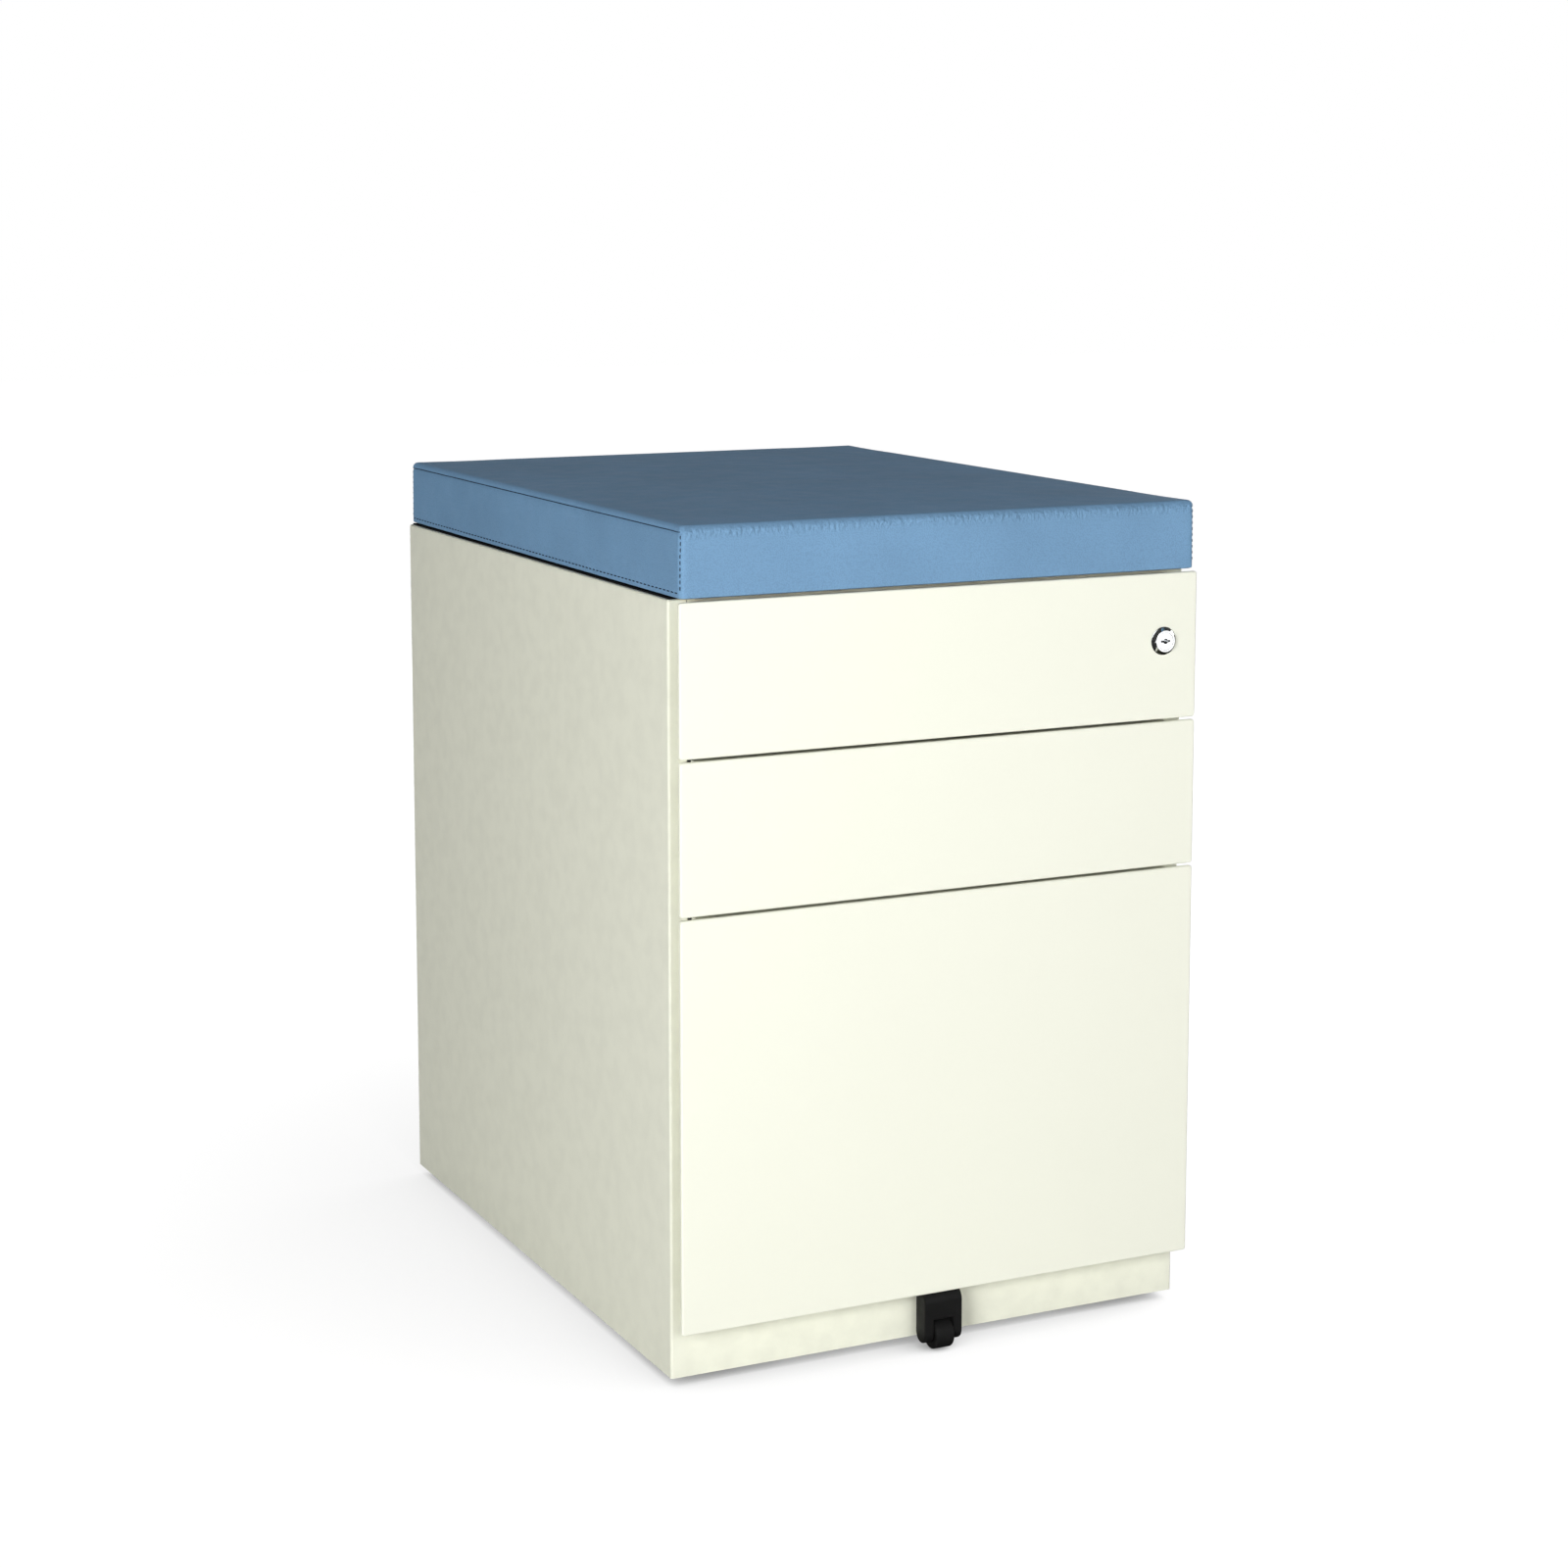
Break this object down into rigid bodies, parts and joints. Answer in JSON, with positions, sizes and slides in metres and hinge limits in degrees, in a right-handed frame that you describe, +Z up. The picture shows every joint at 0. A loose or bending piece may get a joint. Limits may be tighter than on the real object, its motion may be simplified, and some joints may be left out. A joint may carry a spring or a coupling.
{
  "type": "mobile filing pedestal",
  "caption": "Low steel office pedestal on castors with two shallow drawers over a filing drawer, a central lock and a padded seat on top.",
  "frame": {"origin": "on the floor, under the middle of the object's bounding box", "axes": "+Z up, the drawers open towards -Y, +X to the right of someone facing the fronts"},
  "size_m": [0.42, 0.5684, 0.6215],
  "materials": {
    "case_paint": "ivory powder coat with a fine texture",
    "front_paint": "ivory white powder coat with a fine texture",
    "zinc_steel": "zinc-plated steel",
    "bright_steel": "bright steel",
    "chrome": "polished chrome",
    "black_plastic": "moulded black plastic",
    "castor_tread": "dark moulded tread",
    "seat_vinyl": "blue grained vinyl",
    "seat_board": "plywood",
    "grip_mat": "black non-slip mat"
  },
  "bodies": {
    "case": {"left_side_panel": "case_paint", "right_side_panel": "case_paint", "top_panel": "case_paint", "back_panel": "case_paint", "base_panel": "case_paint", "front_plinth": "case_paint", "left_slide_posts": "zinc_steel", "right_slide_posts": "zinc_steel", "upper_cabinet_rails": "zinc_steel", "middle_cabinet_rails": "zinc_steel", "lower_cabinet_rails": "zinc_steel", "lock_bar_guides": "black_plastic", "castor_plates": "zinc_steel", "castor_screws": "zinc_steel", "seat_cushion": "seat_vinyl", "seat_board": "seat_board", "seat_grip_mat": "grip_mat"},
    "lock_bar": {"lock_bar": "zinc_steel"},
    "upper_drawer": {"upper_front": "front_paint", "upper_front_liner": "case_paint", "upper_box": "zinc_steel", "upper_drawer_rails": "zinc_steel", "upper_catch": "zinc_steel", "lock_housing": "chrome", "lock_nut": "zinc_steel"},
    "lock_core": {"lock_plug": "chrome", "lock_cam": "zinc_steel", "lock_cam_screw": "zinc_steel"},
    "upper_cages": {"upper_ball_cages": "bright_steel"},
    "middle_drawer": {"middle_front": "front_paint", "middle_front_liner": "case_paint", "middle_box": "zinc_steel", "middle_drawer_rails": "zinc_steel", "middle_catch": "zinc_steel"},
    "middle_cages": {"middle_ball_cages": "bright_steel"},
    "lower_drawer": {"lower_front": "front_paint", "lower_front_liner": "case_paint", "lower_box": "zinc_steel", "lower_drawer_rails": "zinc_steel", "lower_catch": "zinc_steel", "file_rails": "zinc_steel", "tilt_castor_hood": "black_plastic", "tilt_castor_axle": "zinc_steel"},
    "lower_intermediate": {"lower_intermediate_rails": "zinc_steel"},
    "tilt_wheel": {"tilt_castor_wheel": "castor_tread"},
    "front_left_castor": {"front_left_castor_frame": "black_plastic"},
    "front_left_castor_wheel_pair": {"front_left_castor_wheels": "castor_tread"},
    "front_right_castor": {"front_right_castor_frame": "black_plastic"},
    "front_right_castor_wheel_pair": {"front_right_castor_wheels": "castor_tread"},
    "rear_left_castor": {"rear_left_castor_frame": "black_plastic"},
    "rear_left_castor_wheel_pair": {"rear_left_castor_wheels": "castor_tread"},
    "rear_right_castor": {"rear_right_castor_frame": "black_plastic"},
    "rear_right_castor_wheel_pair": {"rear_right_castor_wheels": "castor_tread"}
  },
  "joints": [
    {"name": "upper_drawer_slide", "type": "slide", "parent": "case", "child": "upper_drawer", "axis": [0, -1, 0], "range_m": [0, 0.4]},
    {"name": "upper_cage_slide", "type": "slide", "parent": "case", "child": "upper_cages", "axis": [0, -1, 0], "range_m": [0, 0.2]},
    {"name": "middle_drawer_slide", "type": "slide", "parent": "case", "child": "middle_drawer", "axis": [0, -1, 0], "range_m": [0, 0.4]},
    {"name": "middle_cage_slide", "type": "slide", "parent": "case", "child": "middle_cages", "axis": [0, -1, 0], "range_m": [0, 0.2]},
    {"name": "lower_drawer_slide", "type": "slide", "parent": "case", "child": "lower_drawer", "axis": [0, -1, 0], "range_m": [0, 0.48]},
    {"name": "lower_intermediate_slide", "type": "slide", "parent": "case", "child": "lower_intermediate", "axis": [0, -1, 0], "range_m": [0, 0.24]},
    {"name": "lock_turn", "type": "hinge", "parent": "upper_drawer", "child": "lock_core", "pos_m": [0.181, -0.28075, 0.51755], "axis": [0, -1, 0], "range_deg": [0, 90]},
    {"name": "lock_bar_lift", "type": "slide", "parent": "case", "child": "lock_bar", "axis": [0, 0, 1], "range_m": [0, 0.0099]},
    {"name": "tilt_wheel_spin", "type": "hinge", "parent": "lower_drawer", "child": "tilt_wheel", "pos_m": [0, -0.273, 0.0124], "axis": [1, 0, 0], "continuous": true},
    {"name": "front_left_castor_swivel", "type": "hinge", "parent": "case", "child": "front_left_castor", "pos_m": [-0.16, -0.21575, 0.04], "axis": [0, 0, 1], "continuous": true},
    {"name": "front_left_castor_roll", "type": "hinge", "parent": "front_left_castor", "child": "front_left_castor_wheel_pair", "pos_m": [-0.16, -0.20375, 0.015], "axis": [1, 0, 0], "continuous": true},
    {"name": "front_right_castor_swivel", "type": "hinge", "parent": "case", "child": "front_right_castor", "pos_m": [0.16, -0.21575, 0.04], "axis": [0, 0, 1], "continuous": true},
    {"name": "front_right_castor_roll", "type": "hinge", "parent": "front_right_castor", "child": "front_right_castor_wheel_pair", "pos_m": [0.16, -0.20375, 0.015], "axis": [1, 0, 0], "continuous": true},
    {"name": "rear_left_castor_swivel", "type": "hinge", "parent": "case", "child": "rear_left_castor", "pos_m": [-0.16, 0.23925, 0.04], "axis": [0, 0, 1], "continuous": true},
    {"name": "rear_left_castor_roll", "type": "hinge", "parent": "rear_left_castor", "child": "rear_left_castor_wheel_pair", "pos_m": [-0.16, 0.25125, 0.015], "axis": [1, 0, 0], "continuous": true},
    {"name": "rear_right_castor_swivel", "type": "hinge", "parent": "case", "child": "rear_right_castor", "pos_m": [0.16, 0.23925, 0.04], "axis": [0, 0, 1], "continuous": true},
    {"name": "rear_right_castor_roll", "type": "hinge", "parent": "rear_right_castor", "child": "rear_right_castor_wheel_pair", "pos_m": [0.16, 0.25125, 0.015], "axis": [1, 0, 0], "continuous": true}
  ],
  "couplings": [
    {"joint": "upper_cage_slide", "follows": "upper_drawer_slide", "ratio": 0.5},
    {"joint": "middle_cage_slide", "follows": "middle_drawer_slide", "ratio": 0.5},
    {"joint": "lower_intermediate_slide", "follows": "lower_drawer_slide", "ratio": 0.5},
    {"joint": "lock_turn", "follows": "lock_bar_lift", "rad_per_m": 158.66}
  ]
}
